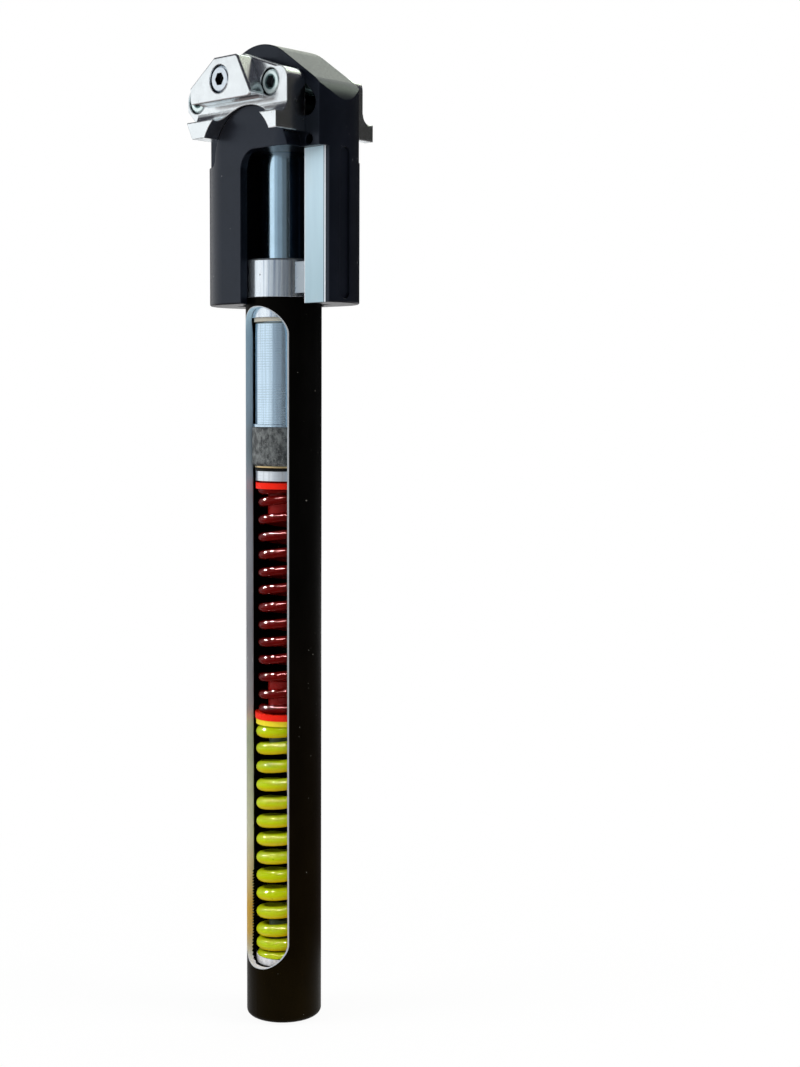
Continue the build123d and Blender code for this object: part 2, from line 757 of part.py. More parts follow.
def clamp_block(side, name):
    """Half of the saddle clamp: it rides on the boss and holds one rail in a groove of its foot."""
    with BuildPart() as block:
        with BuildSketch(Plane.XZ.offset(-side * block_inner)) as outline:
            with BuildLine():
                foot_rear = (lip_rear + heel_run, foot_bottom)
                heel = (lip_rear, foot_bottom + heel_rise)
                lobe_low = (block_rear, rear_bolt_z - lobe_flat_below)
                lobe_high = (block_rear, rear_bolt_z)
                half_bend = radians(90 - lobe_slope) / 2
                lobe_lean = radians(lobe_slope)
                lobe_mid = (
                    rear_bolt_x - lobe_radius * cos(half_bend),
                    rear_bolt_z + lobe_radius * sin(half_bend),
                )
                lobe_top = (
                    rear_bolt_x - lobe_radius * sin(lobe_lean),
                    rear_bolt_z + lobe_radius * cos(lobe_lean),
                )
                crest_rear_x = lobe_top[0] + (block_crest - lobe_top[1]) / tan(lobe_lean)
                corner_rest = block_front_corner * (1 - sin(pi / 4))
                front_high = (block_front, block_top - block_front_corner)
                front_mid = (block_front - corner_rest, block_top - corner_rest)
                front_top = (block_front - block_front_corner, block_top)
                Polyline(foot_rear, heel, lobe_low, lobe_high)
                ThreePointArc(lobe_high, lobe_mid, lobe_top)
                Polyline(lobe_top, (crest_rear_x, block_crest), (crest_front_x, block_crest), front_top)
                ThreePointArc(front_top, front_mid, front_high)
                Polyline(front_high, (block_front, foot_bottom), foot_rear)
            make_face()
            with Locations((pivot_x, pivot_z)):
                Circle(arch_radius, mode=Mode.SUBTRACT)
        extrude(amount=-side * (block_outer - block_inner))
        with BuildSketch(Plane.XZ.offset(-side * block_outer)):
            add(outline.sketch_local)
            with Locations((0, rail_z + far / 2)):
                Rectangle(4 * far, far, mode=Mode.SUBTRACT)
            with Locations((lip_rear - far / 2, rail_z)):
                Rectangle(far, far, mode=Mode.SUBTRACT)
        extrude(amount=-side * (lip_outer - block_outer))
        with BuildSketch(Plane.YZ.offset(-far)):
            with Locations((side * rail_y, rail_z)):
                Circle(rail_radius)
        extrude(amount=2 * far, mode=Mode.SUBTRACT)
        for bolt_x, bolt_z in ((front_bolt_x, front_bolt_z), (rear_bolt_x, rear_bolt_z)):
            with BuildSketch(Plane.XZ):
                with Locations((bolt_x, bolt_z)):
                    Circle(tilt_bolt_radius + seat_gap)
            extrude(amount=-side * far, mode=Mode.SUBTRACT)
            with BuildSketch(Plane.XZ.offset(-side * head_seat)):
                with Locations((bolt_x, bolt_z)):
                    Circle(tilt_bore_radius)
            extrude(amount=-side * far, mode=Mode.SUBTRACT)
        with BuildSketch(Plane.XZ):
            with Locations((centre_bolt_x, centre_bolt_z)):
                Circle(centre_bolt_radius + running_gap)
        extrude(amount=-side * far, mode=Mode.SUBTRACT)
        outer_face = side * block_outer
        crest_edges = block.edges().filter_by_position(Axis.Y, outer_face, outer_face)
        crest_edges = crest_edges.filter_by_position(Axis.Z, block_top - 0.1, block_crest + 0.1)
        chamfer(crest_edges.filter_by(GeomType.LINE), length=block_edge_break)
    save(block, name)


def jaw_plate(side, name):
    """Outer jaw that closes down on the rail."""
    inner = block_outer + plate_gap
    with BuildPart() as plate:
        with BuildSketch(Plane.XZ.offset(-side * inner)):
            with BuildLine():
                Polyline(
                    (plate_low_front, plate_bottom),
                    (plate_high_front, plate_top),
                    (plate_slope_top, plate_top),
                    (plate_rear, plate_bottom + plate_rear_height),
                    (plate_rear, plate_bottom),
                    close=True,
                )
            corners = make_face().vertices()
            sloped = corners.filter_by_position(Axis.X, plate_rear - 0.1, plate_slope_top + 0.1)
            sloped = sloped.sort_by(Axis.Y)[1:]
            fillet([corner for corner in corners if corner not in sloped], radius=plate_corner)
            fillet(sloped, radius=plate_round)
        extrude(amount=-side * (plate_outer - inner))
        outer_face = plate.faces().sort_by(Axis.Y)[-1 if side > 0 else 0]
        chamfer(outer_face.edges(), length=plate_bevel)
        with BuildSketch(Plane.YZ.offset(-far)):
            with Locations((side * rail_y, rail_z)):
                Circle(rail_radius)
        extrude(amount=2 * far, mode=Mode.SUBTRACT)
        with BuildSketch(Plane.XZ):
            with Locations((centre_bolt_x, centre_bolt_z)):
                Circle(centre_bolt_radius + plate_hole_gap)
        extrude(amount=-side * far, mode=Mode.SUBTRACT)
        with BuildSketch(Plane.XZ.offset(-side * centre_seat)):
            with Locations((centre_bolt_x, centre_bolt_z)):
                Circle(centre_head_radius + counterbore_gap)
        extrude(amount=-side * far, mode=Mode.SUBTRACT)
    save(plate, name)


def socket_screw(name, side, spot, head_radius, head_height, shank_radius, seat, tip):
    """A socket head screw along Y: the head outside its seat, the shank running in to its tip."""
    with BuildPart() as screw:
        with BuildSketch(Plane.XZ.offset(-side * seat)):
            with Locations(spot):
                Circle(head_radius)
        extrude(amount=-side * head_height)
        head_face = screw.faces().sort_by(Axis.Y)[-1 if side > 0 else 0]
        chamfer(head_face.edges(), length=0.5)
        with BuildSketch(Plane.XZ.offset(-side * seat)):
            with Locations(spot):
                Circle(shank_radius)
        extrude(amount=side * (seat - tip))
        with BuildSketch(Plane.XZ.offset(-side * (seat + head_height - bolt_socket_depth))):
            with Locations(spot):
                RegularPolygon(bolt_socket / 2, 6, major_radius=False)
        extrude(amount=-side * far, mode=Mode.SUBTRACT)
    save(screw, name)


clamp_block(-1, "clamp_block_left")
clamp_block(1, "clamp_block_right")
jaw_plate(-1, "jaw_plate_left")
jaw_plate(1, "jaw_plate_right")

front_spot = (front_bolt_x, front_bolt_z)
rear_spot = (rear_bolt_x, rear_bolt_z)
centre_spot = (centre_bolt_x, centre_bolt_z)
centre_tip = centre_seat - centre_bolt_reach
tilt_tip = -(head_seat + tilt_tip_past_nut_face)
tilt_sizes = (tilt_head_radius, tilt_head_height, tilt_bolt_radius, head_seat, tilt_tip)
centre_sizes = (centre_head_radius, centre_head_height, centre_bolt_radius, centre_seat, centre_tip)
socket_screw("front_tilt_bolt", -1, front_spot, *tilt_sizes)
socket_screw("rear_tilt_bolt", -1, rear_spot, *tilt_sizes)
socket_screw("jaw_bolt_left", -1, centre_spot, *centre_sizes)
socket_screw("jaw_bolt_right", 1, centre_spot, *centre_sizes)

# Round nuts of the two tilt bolts, sunk in the far clamp half
with BuildPart() as tilt_nuts:
    for spot in (front_spot, rear_spot):
        with BuildSketch(Plane.XZ.offset(-head_seat)):
            with Locations(spot):
                Circle(tilt_head_radius)
                Circle(tilt_bolt_radius + seat_gap, mode=Mode.SUBTRACT)
        extrude(amount=-tilt_head_height)
save(tilt_nuts, "tilt_nuts")
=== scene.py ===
"""Looks of a suspension seatpost cut open for display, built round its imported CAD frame.

Metres throughout. +Z runs up the tube, +X is the front of the saddle and the cut side faces -Y.
"""
import math

import bpy
from mathutils import Matrix, Vector


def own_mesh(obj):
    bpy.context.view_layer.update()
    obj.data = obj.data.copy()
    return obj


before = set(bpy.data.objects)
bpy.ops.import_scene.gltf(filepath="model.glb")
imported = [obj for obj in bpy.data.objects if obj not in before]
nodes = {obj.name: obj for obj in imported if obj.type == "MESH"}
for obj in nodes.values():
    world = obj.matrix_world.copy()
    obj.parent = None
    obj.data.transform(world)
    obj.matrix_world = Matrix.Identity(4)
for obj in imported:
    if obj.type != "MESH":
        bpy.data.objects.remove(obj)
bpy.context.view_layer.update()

# Camera, from the photograph's own perspective
AZIMUTH = math.radians(47.0)
CAMERA_DISTANCE = 0.625
CAMERA_HEIGHT = 0.225
PITCH_DOWN = math.radians(4.4)
TURN_RIGHT = math.radians(3.85)
ROLL = 0.0046
LENS_MM = 58.4
SENSOR_MM = 36.0
TO_CAMERA = Vector((math.sin(AZIMUTH), -math.cos(AZIMUTH), 0.0))
TO_RIGHT = Vector((math.cos(AZIMUTH), math.sin(AZIMUTH), 0.0))

# The tube's slot, in x and z: its walls and its bright rim lie at these distances from its outline
SLOT_MIDDLE = (0.0007, 0.13865)
SLOT_HALF = (0.0100, 0.11885)
SLOT_CORNER = 0.0096
SLOT_FRONT_OF = -0.0019
SLOT_WALL = (-0.0002, 0.00005)
SLOT_RIM = (0.00004, 0.00034)
RIM_SOFT = 0.00004
# Painted warm light fades in over the tube's foot between these heights
WARM_LIGHT_FOOT = (0.02, 0.16)
# Ramp positions per metre of height for the painted reflections on the slot's walls
WALL_REFLECTIONS_PER_METRE = 4.0

# The cut face of the head's window, with a painted highlight down each side, a dark line of painted
# shade as in a groove, and painted light from low to high between the CUT_FACE_SHADE heights
CUT_FACE_Y = -0.0065
CUT_FACE_LEFT = 0.0175
CUT_FACE_RIGHT = 0.0274
CUT_FACE_TOP = 0.3120
CUT_FACE_SHADE = (0.265, 0.305)
LEFT_HIGHLIGHT_HALF = 0.0003
RIGHT_HIGHLIGHT = 0.0005
GROOVE_SHADE_WIDTH = 0.0004

# The curved slot of the clamp's front bolt, as radii round the clamp's pivot; shade is painted
# inside it
PIVOT = (0.0010, 0.3080)
BOLT_SLOT_RADII = (0.0236, 0.0324)
BOLT_SLOT_FRONT = 0.0195
BOLT_SLOT_SIDE = 0.0182

# Bolt heads in x and z, with how far from the middle their sockets' faces lie; shade is painted in
# the sockets and in a disc round the tilt bolts' sockets
JAW_BOLTS = ((-0.0062, 0.33575),)
JAW_BOLT_FACE = 0.0240
TILT_BOLTS = ((0.01266, 0.33346), (-0.02529, 0.33126))
TILT_BOLT_FACE = 0.0176
TILT_BOLT_SHADE_DISC = 0.0028
SOCKET_RADIUS = 0.0023
SOCKET_SOFT = 0.00015
SHADE_DISC_SOFT = 0.0003

# The red seats' pegs get painted shade, as they sit in the coils' shadow
PEG_RADIUS = 0.0089

# Studio
FLOOR_RADIUS = 3.0
FLOOR_SIDES = 96
FLOOR_DROP = 0.0005
FLOOR_FADE = (0.03, 0.3)
CARD_RADIUS = 1.5
CARD_FOOT = -0.6
BAND_STEPS = 24
LAMP_AIM = Vector((0, 0, 0.2))
BOX_DISTANCE = 1.1
BACK_DISTANCE = 1.2
SPOT_DISTANCE = 0.8


def add_camera():
    """Camera at the photograph's place, with the post left of the frame's middle."""
    heading = -TO_CAMERA * math.cos(TURN_RIGHT) + TO_RIGHT * math.sin(TURN_RIGHT)
    forward = heading * math.cos(PITCH_DOWN) - Vector((0, 0, math.sin(PITCH_DOWN)))
    data = bpy.data.cameras.new("camera")
    data.sensor_fit = "VERTICAL"
    data.sensor_height = SENSOR_MM
    data.lens = LENS_MM
    data.clip_start = 0.01
    camera = bpy.data.objects.new("camera", data)
    bpy.context.scene.collection.objects.link(camera)
    place = TO_CAMERA * CAMERA_DISTANCE + Vector((0, 0, CAMERA_HEIGHT))
    turn = forward.to_track_quat("-Z", "Y").to_matrix().to_4x4()
    camera.matrix_world = Matrix.Translation(place) @ turn @ Matrix.Rotation(ROLL, 4, "Z")
    bpy.context.scene.camera = camera


class Finish:
    """One node material, with short ways to add and link its nodes."""

    def __init__(self, name, metallic=0.0, specular=0.5, edge=0.0003, tint=(1.0, 1.0, 1.0)):
        self.material = bpy.data.materials.new(name)
        self.material.use_nodes = True
        self.tree = self.material.node_tree
        self.shader = self.tree.nodes["Principled BSDF"]
        self.shader.inputs["Metallic"].default_value = metallic
        self.shader.inputs["Specular IOR Level"].default_value = specular
        self.shader.inputs["Specular Tint"].default_value = (*tint, 1.0)
        coordinates = self.tree.nodes.new("ShaderNodeTexCoord")
        self.place = coordinates.outputs["Object"]
        self.normal = coordinates.outputs["Normal"]
        self.edge = edge

    def plug(self, value, socket):
        """Links a socket, or writes a plain value."""
        if isinstance(value, bpy.types.NodeSocket):
            self.tree.links.new(value, socket)
        else:
            socket.default_value = value

    def calc(self, operation, first, second=0.0, third=0.0, clamp=False):
        """One sum of up to three numbers or sockets."""
        node = self.tree.nodes.new("ShaderNodeMath")
        node.operation = operation
        node.use_clamp = clamp
        for value, socket in zip((first, second, third), node.inputs):
            self.plug(value, socket)
        return node.outputs[0]

    def axes(self, vector=None):
        """The three numbers of a vector, or else of the place in the object's own space."""
        node = self.tree.nodes.new("ShaderNodeSeparateXYZ")
        self.tree.links.new(vector or self.place, node.inputs[0])
        return node.outputs["X"], node.outputs["Y"], node.outputs["Z"]

    def reach(self, first, second, centre=(0.0, 0.0)):
        """Distance from a centre, measured along two axes."""
        squares = [
            self.calc("POWER", self.calc("SUBTRACT", value, middle), 2.0)
            for value, middle in zip((first, second), centre)
        ]
        return self.calc("SQRT", self.calc("ADD", *squares))

    def noise(self, scale, stretch=(1, 1, 1), detail=4.0, roughness=0.6):
        """Noise over the object's space, drawn out along the axes whose stretch is small."""
        mapping = self.tree.nodes.new("ShaderNodeMapping")
        mapping.inputs["Scale"].default_value = stretch
        self.tree.links.new(self.place, mapping.inputs["Vector"])
        node = self.tree.nodes.new("ShaderNodeTexNoise")
        node.inputs["Scale"].default_value = scale
        node.inputs["Detail"].default_value = detail
        node.inputs["Roughness"].default_value = roughness
        self.tree.links.new(mapping.outputs["Vector"], node.inputs["Vector"])
        return node.outputs["Fac"]

    def ramp(self, source, *stops):
        """Maps a number to colours at the given positions."""
        node = self.tree.nodes.new("ShaderNodeValToRGB")
        elements = node.color_ramp.elements
        while len(elements) < len(stops):
            elements.new(0.5)
        for element, (position, colour) in zip(elements, stops):
            element.position = position
            element.color = (*colour, 1.0)
        self.tree.links.new(source, node.inputs["Fac"])
        return node.outputs["Color"]

    def span(self, source, low, high, start=0.3, end=0.7):
        """Maps start to end of a number onto low to high, clamped."""
        node = self.tree.nodes.new("ShaderNodeMapRange")
        node.inputs["From Min"].default_value = start
        node.inputs["From Max"].default_value = end
        node.inputs["To Min"].default_value = low
        node.inputs["To Max"].default_value = high
        self.tree.links.new(source, node.inputs["Value"])
        return node.outputs["Result"]

    def mix(self, factor, first, second):
        """Mixes two colours by a factor."""
        node = self.tree.nodes.new("ShaderNodeMix")
        node.data_type = "RGBA"
        self.plug(factor, node.inputs["Factor"])
        for value, name in ((first, "A"), (second, "B")):
            socket = [s for s in node.inputs if s.name == name and s.type == "RGBA"][0]
            if isinstance(value, tuple):
                value = (*value, 1.0)
            self.plug(value, socket)
        return [s for s in node.outputs if s.type == "RGBA"][0]

    def blend(self, factor, low, high):
        """A number between low and high by a factor socket; both may be sockets."""
        difference = self.calc("SUBTRACT", high, low)
        return self.calc("MULTIPLY_ADD", factor, difference, low)

    def inside(self, value, low, high, soft=0.00002):
        """1 where a coordinate lies between two limits, with a soft step at each."""
        above = self.span(value, 0.0, 1.0, low - soft, low + soft)
        below = self.span(value, 1.0, 0.0, high - soft, high + soft)
        return self.calc("MULTIPLY", above, below)

    def specks(self, scale, threshold, strength=1.0):
        """A few tiny dots of dust, nicks or chips."""
        dots = self.noise(scale, detail=1.0, roughness=0.3)
        return self.span(dots, 0.0, strength, threshold, threshold + 0.02)

    def streaked(self, base, dark, scale=800.0):
        """Draws fine upright streaks over a colour, as wiped or honed metal has."""
        streaks = self.noise(scale, (1, 1, 0.02), detail=3.0)
        return self.mix(self.span(streaks, 0.0, 1.0, 0.45, 0.68), base, dark)

    def colour(self, value):
        """Links the shader's colour."""
        self.plug(value, self.shader.inputs["Base Color"])

    def coloured(self):
        """The socket that gives the shader's colour now."""
        return self.shader.inputs["Base Color"].links[0].from_socket

    def roughness(self, value):
        """Links or writes the shader's roughness."""
        self.plug(value, self.shader.inputs["Roughness"])

    def metallic(self, value):
        """Links the shader's metallic share."""
        self.plug(value, self.shader.inputs["Metallic"])

    def relief(self, source, distance, strength):
        """Bump from a height, over a normal that rounds the hard edges."""
        node = self.tree.nodes.new("ShaderNodeBump")
        node.inputs["Strength"].default_value = strength
        node.inputs["Distance"].default_value = distance
        self.tree.links.new(source, node.inputs["Height"])
        bevel = self.tree.nodes.new("ShaderNodeBevel")
        bevel.inputs["Radius"].default_value = self.edge
        self.tree.links.new(bevel.outputs["Normal"], node.inputs["Normal"])
        self.tree.links.new(node.outputs["Normal"], self.shader.inputs["Normal"])

    def dress(self, *names):
        """Gives the material to CAD nodes through their material slots."""
        for name in names:
            nodes[name].data.materials.clear()
            nodes[name].data.materials.append(self.material)


def seat_tube_finish():
    """Satin black anodising with painted warm light towards the foot, bare milled metal on the
    slot's walls with painted reflections in tones up their height, and a bright deburred rim.
    """
    finish = Finish("tube_black", specular=0.035, tint=(1.0, 0.82, 0.55))
    x, y, z = finish.axes()
    across = finish.calc("ABSOLUTE", finish.calc("SUBTRACT", x, SLOT_MIDDLE[0]))
    along = finish.calc("ABSOLUTE", finish.calc("SUBTRACT", z, SLOT_MIDDLE[1]))
    over_x = finish.calc("SUBTRACT", across, SLOT_HALF[0] - SLOT_CORNER)
    over_z = finish.calc("SUBTRACT", along, SLOT_HALF[1] - SLOT_CORNER)
    outside = finish.reach(
        finish.calc("MAXIMUM", over_x, 0.0),
        finish.calc("MAXIMUM", over_z, 0.0),
    )
    within = finish.calc("MINIMUM", finish.calc("MAXIMUM", over_x, over_z), 0.0)
    distance = finish.calc("SUBTRACT", finish.calc("ADD", outside, within), SLOT_CORNER)
    cut_side = finish.span(y, 1.0, 0.0, SLOT_FRONT_OF, SLOT_FRONT_OF + 0.0001)
    wall = finish.calc("MULTIPLY", finish.inside(distance, *SLOT_WALL), cut_side)
    rim = finish.calc("MULTIPLY", finish.inside(distance, *SLOT_RIM, RIM_SOFT), cut_side)
    mottle = finish.noise(90.0, (1, 1, 0.5), detail=6.0)
    cool = finish.ramp(mottle, (0.35, (0.0006, 0.0007, 0.0008)), (0.75, (0.0016, 0.0017, 0.0019)))
    # Painted warm light: the black turns a warm brown towards the tube's foot
    warm_painted_light = finish.ramp(mottle, (0.35, (0.0034, 0.0020, 0.0002)), (0.75, (0.0058, 0.0034, 0.0004)))
    black = finish.mix(finish.span(z, 1.0, 0.0, *WARM_LIGHT_FOOT), cool, warm_painted_light)
    black = finish.mix(finish.specks(900.0, 0.80), black, (0.10, 0.10, 0.09))
    # Painted reflections: the bare walls' tones, from orange through white and grey to blue up
    # their height
    milled_with_painted_light = finish.ramp(
        finish.calc("MULTIPLY", z, WALL_REFLECTIONS_PER_METRE),
        (0.09, (0.86, 0.84, 0.88)),
        (0.12, (1.00, 0.60, 0.14)),
        (0.155, (1.00, 0.57, 0.07)),
        (0.19, (1.00, 0.74, 0.42)),
        (0.27, (0.98, 0.94, 0.92)),
        (0.41, (0.60, 0.66, 0.63)),
        (0.56, (0.44, 0.48, 0.52)),
        (0.85, (0.50, 0.63, 0.73)),
        (1.0, (0.50, 0.72, 0.86)),
    )
    chatter = finish.noise(300.0, (1, 1, 0.15), detail=3.0)
    milled_with_painted_light = finish.mix(finish.span(chatter, 0.0, 0.2), milled_with_painted_light, (0.80, 0.86, 0.90))
    base = finish.mix(wall, black, milled_with_painted_light)
    finish.colour(finish.mix(rim, base, (0.72, 0.76, 0.80)))
    bare = finish.calc("ADD", wall, rim, clamp=True)
    fine = finish.noise(1400.0, detail=3.0)
    finish.roughness(finish.blend(bare, finish.span(fine, 0.34, 0.46), 0.5))
    finish.metallic(finish.calc("MULTIPLY", rim, 0.6))
    finish.relief(fine, 0.00002, 0.2)
    finish.dress("seat_tube")


def head_finish():
    """Satin blue-black anodising, with bare milled metal on the window's cut face, which gets
    painted light that is paler towards its top, a painted highlight down each side and a dark line
    of painted shade.
    """
    finish = Finish("head_black", specular=0.46, edge=0.0005, tint=(0.62, 0.76, 1.0))
    x, y, z = finish.axes()
    face = finish.inside(y, CUT_FACE_Y - 0.0001, CUT_FACE_Y + 0.0001)
    right_of = finish.span(x, 0.0, 1.0, CUT_FACE_LEFT - 0.0002, CUT_FACE_LEFT)
    below = finish.span(z, 1.0, 0.0, CUT_FACE_TOP, CUT_FACE_TOP + 0.0001)
    face = finish.calc("MULTIPLY", finish.calc("MULTIPLY", face, right_of), below)
    # Painted highlights: a bright line down each edge of the cut face
    left_highlight = finish.inside(
        x, CUT_FACE_LEFT - LEFT_HIGHLIGHT_HALF, CUT_FACE_LEFT + LEFT_HIGHLIGHT_HALF, 0.0001
    )
    right_highlight = finish.inside(x, CUT_FACE_RIGHT, CUT_FACE_RIGHT + RIGHT_HIGHLIGHT, 0.00005)
    lines = finish.calc("MULTIPLY", finish.calc("ADD", left_highlight, right_highlight, clamp=True), face)
    # Painted shade: a dark line, as in a groove, beside the cut face's right edge
    groove = finish.inside(x, CUT_FACE_RIGHT - GROOVE_SHADE_WIDTH, CUT_FACE_RIGHT, 0.00005)
    end = CUT_FACE_RIGHT + RIGHT_HIGHLIGHT
    beyond = finish.span(x, 0.0, 1.0, end, end + 0.0001)
    face = finish.calc("MULTIPLY", face, finish.calc("SUBTRACT", 1.0, beyond))
    mottle = finish.noise(70.0, detail=6.0)
    black = finish.ramp(mottle, (0.35, (0.0020, 0.0026, 0.0050)), (0.75, (0.0036, 0.0046, 0.0085)))
    black = finish.mix(finish.specks(700.0, 0.79), black, (0.16, 0.16, 0.17))
    grain = finish.noise(220.0, (1, 1, 0.08), detail=4.0)
    # Painted light: the cut face is bluer and darker low down and paler high up
    low_face = finish.ramp(grain, (0.3, (0.40, 0.55, 0.62)), (0.7, (0.46, 0.62, 0.69)))
    high_face = finish.ramp(grain, (0.3, (0.56, 0.74, 0.84)), (0.7, (0.64, 0.83, 0.92)))
    milled_with_painted_light = finish.mix(finish.span(z, 0.0, 1.0, *CUT_FACE_SHADE), low_face, high_face)
    cloud = finish.span(finish.noise(60.0, (1, 1, 0.5)), 0.0, 0.3, 0.45, 0.7)
    milled_with_painted_light = finish.mix(cloud, milled_with_painted_light, (0.62, 0.66, 0.60))
    milled_with_painted_light = finish.mix(groove, milled_with_painted_light, (0.10, 0.12, 0.15))
    base = finish.mix(face, black, milled_with_painted_light)
    finish.colour(finish.mix(lines, base, (0.92, 0.96, 1.0)))
    fine = finish.noise(1300.0, detail=3.0)
    finish.roughness(finish.blend(face, finish.span(fine, 0.28, 0.40), 0.42))
    finish.metallic(finish.calc("MULTIPLY", face, 0.35))
    finish.relief(fine, 0.00002, 0.2)
    finish.dress("head_housing")


def metal(
    name, colour, roughness, scale, stretch=(1, 1, 1),
    relief=0.00001, edge=0.0003, shade=0.9, nicks=0.0, metallic=1.0,
):
    """Bare metal with faint clouds and fine uneven roughness, drawn out along the tool's path.

    shade is how dark the clouds are, and nicks the threshold of small dark dents, if there are any.
    """
    finish = Finish(name, metallic=metallic, edge=edge)
    fine = finish.noise(scale, stretch, detail=5.0)
    broad = finish.noise(60.0, detail=3.0)
    clouds = finish.ramp(broad, (0.3, tuple(shade * c for c in colour)), (0.6, colour))
    if nicks:
        clouds = finish.mix(finish.specks(650.0, nicks), clouds, tuple(0.35 * c for c in colour))
    finish.colour(clouds)
    finish.roughness(finish.span(fine, roughness - 0.03, roughness + 0.06))
    finish.relief(fine, relief, 0.35)
    return finish


def nut_finish():
    """Bright honed nut with upright streaks and a few nicks."""
    finish = metal(
        "bright_nut", (0.82, 0.90, 0.97), 0.2, 200.0, (1, 1, 0.12), nicks=0.79, metallic=0.9
    )
    finish.colour(finish.streaked(finish.coloured(), (0.46, 0.55, 0.68)))
    finish.dress("collar_nut")


def clamp_finish():
    """Satin aluminium clamp, with painted shade down in the curved slot that the front bolt slides
    in.
    """
    finish = metal(
        "clamp_aluminium", (0.91, 0.97, 1.0), 0.22, 300.0, relief=0.000003, edge=0.0006, shade=0.94
    )
    x, y, z = finish.axes()
    # Painted shade: dark deep inside the front bolt's curved slot
    slot = finish.inside(finish.reach(x, z, PIVOT), *BOLT_SLOT_RADII, 0.0001)
    slot = finish.calc("MULTIPLY", slot, finish.inside(x, PIVOT[0], BOLT_SLOT_FRONT))
    slot = finish.calc("MULTIPLY", slot, finish.span(z, 0.0, 1.0, PIVOT[1], PIVOT[1] + 0.001))
    depth = finish.calc("ABSOLUTE", y)
    deep = finish.span(depth, 1.0, 0.0, BOLT_SLOT_SIDE - 0.0004, BOLT_SLOT_SIDE)
    slot = finish.calc("MULTIPLY", slot, deep)
    finish.colour(finish.mix(slot, finish.coloured(), (0.035, 0.035, 0.045)))
    finish.dress("clamp_block_left", "clamp_block_right", "jaw_plate_left", "jaw_plate_right")


def turned_metal(name, colour, roughness, pitch, relief, groove_shade, metallic=1.0):
    """Lathe-turned metal: rings round the axis with an uneven depth."""
    finish = Finish(name, metallic=metallic, edge=0.0002)
    _, _, z = finish.axes()
    wobble = finish.calc("MULTIPLY", finish.noise(260.0, (1, 1, 14), detail=3.0), 3.0)
    phase = finish.calc("ADD", finish.calc("MULTIPLY", z, 2 * math.pi / pitch), wobble)
    groove = finish.calc("MULTIPLY_ADD", finish.calc("SINE", phase), 0.5, 0.5)
    patches = finish.span(finish.noise(110.0, (1, 1, 1.5), detail=3.0), 0.15, 0.9, 0.35, 0.65)
    lines = finish.calc("MULTIPLY", finish.calc("POWER", groove, 2.0), patches)
    base = finish.streaked(colour, tuple(0.7 * c for c in colour), 600.0)
    finish.colour(finish.mix(lines, base, tuple(groove_shade * c for c in colour)))
    finish.roughness(finish.blend(lines, roughness, roughness + 0.12))
    finish.relief(lines, relief, 0.5)
    return finish


def bolt_finish(name, colour, centres, face, metallic=1.0, shade_disc_radius=0.0):
    """Bright bolt head with painted shade in its socket, and round it, out to the given radius, a
    teal disc of painted shade and reflection.
    """
    finish = metal(name, colour, 0.22, 500.0, relief=0.000005, metallic=metallic)
    x, y, z = finish.axes()
    socket = 0.0
    disc = 0.0
    for centre in centres:
        reach = finish.reach(x, z, centre)
        socket_shade = finish.span(reach, 1.0, 0.0, SOCKET_RADIUS, SOCKET_RADIUS + SOCKET_SOFT)
        socket = finish.calc("ADD", socket, socket_shade, clamp=True)
        if shade_disc_radius:
            ring = finish.span(reach, 1.0, 0.0, shade_disc_radius - SHADE_DISC_SOFT, shade_disc_radius)
            disc = finish.calc("ADD", disc, ring, clamp=True)
    deep = finish.span(finish.calc("ABSOLUTE", y), 1.0, 0.0, face, face + 0.0003)
    # Painted shade and reflection: a dark teal disc round the socket, and a dark socket
    bright = finish.mix(disc, finish.coloured(), (0.10, 0.17, 0.17))
    finish.colour(finish.mix(finish.calc("MULTIPLY", socket, deep), bright, (0.07, 0.085, 0.095)))
    return finish


def coating(name, colour, dark, roughness, specular, tint=(1.0, 1.0, 1.0), peg_shade=(), underside_light=()):
    """Baked colour with slight shade changes and a few chips.

    The colour given for a peg within PEG_RADIUS of the axis is painted shade, and the one given for
    faces that look down is painted warm light.
    """
    finish = Finish(name, specular=specular, tint=tint)
    broad = finish.noise(120.0, detail=4.0)
    shade = finish.ramp(broad, (0.3, dark), (0.65, colour))
    if peg_shade:
        x, y, _ = finish.axes()
        # Painted shade on the peg, which sits in the coils' shadow
        peg = finish.span(finish.reach(x, y), 1.0, 0.0, PEG_RADIUS - 0.0003, PEG_RADIUS)
        shade = finish.mix(peg, shade, peg_shade)
    if underside_light:
        # Painted warm light: faces that look down turn golden
        _, _, upward = finish.axes(finish.normal)
        shade = finish.mix(finish.span(upward, 0.85, 0.0, -0.85, 0.05), shade, underside_light)
    chips = finish.specks(430.0, 0.765, 0.8)
    finish.colour(finish.mix(chips, shade, tuple(0.12 * c for c in colour)))
    fine = finish.noise(700.0, detail=2.0)
    finish.roughness(finish.span(fine, 0.6 * roughness, 1.6 * roughness))
    finish.relief(fine, 0.00003, 0.2)
    return finish


def bush_finish():
    """Dull sintered grey with pits and pale grains."""
    finish = Finish("grey_bush", metallic=0.35, specular=0.4)
    grain = finish.noise(1100.0, detail=5.0, roughness=0.75)
    blotch = finish.noise(520.0, (1, 1, 0.7), detail=6.0, roughness=0.7)
    shade = finish.ramp(blotch, (0.40, (0.045, 0.050, 0.052)), (0.60, (0.20, 0.215, 0.215)))
    pale = finish.span(grain, 0.0, 0.8, 0.60, 0.66)
    finish.colour(finish.mix(pale, shade, (0.42, 0.43, 0.42)))
    finish.roughness(finish.span(grain, 0.42, 0.6))
    finish.relief(grain, 0.00006, 0.5)
    finish.dress("guide_bush", "collar_bushing")


